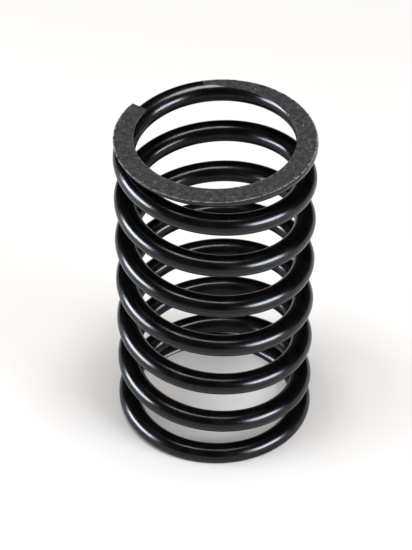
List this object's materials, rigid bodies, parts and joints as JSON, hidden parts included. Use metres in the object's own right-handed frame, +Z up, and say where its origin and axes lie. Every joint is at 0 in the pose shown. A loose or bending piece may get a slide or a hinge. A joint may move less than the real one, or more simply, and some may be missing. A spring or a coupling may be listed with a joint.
{
  "type": "compression spring",
  "caption": "Small left-hand helical compression spring of round blackened steel wire, with closed ends ground flat so that it stands upright.",
  "frame": {"origin": "on the coil axis, at the lower ground end face that the spring stands on", "axes": "+Z up along the coil axis, +X to the right and -Y towards the viewer"},
  "size_m": [0.028, 0.028, 0.0483],
  "materials": {
    "black_spring_steel": "blackened and oiled round wire, glossy; ground end faces matt"
  },
  "bodies": {
    "root": {"spring": "black_spring_steel"}
  },
  "joints": []
}
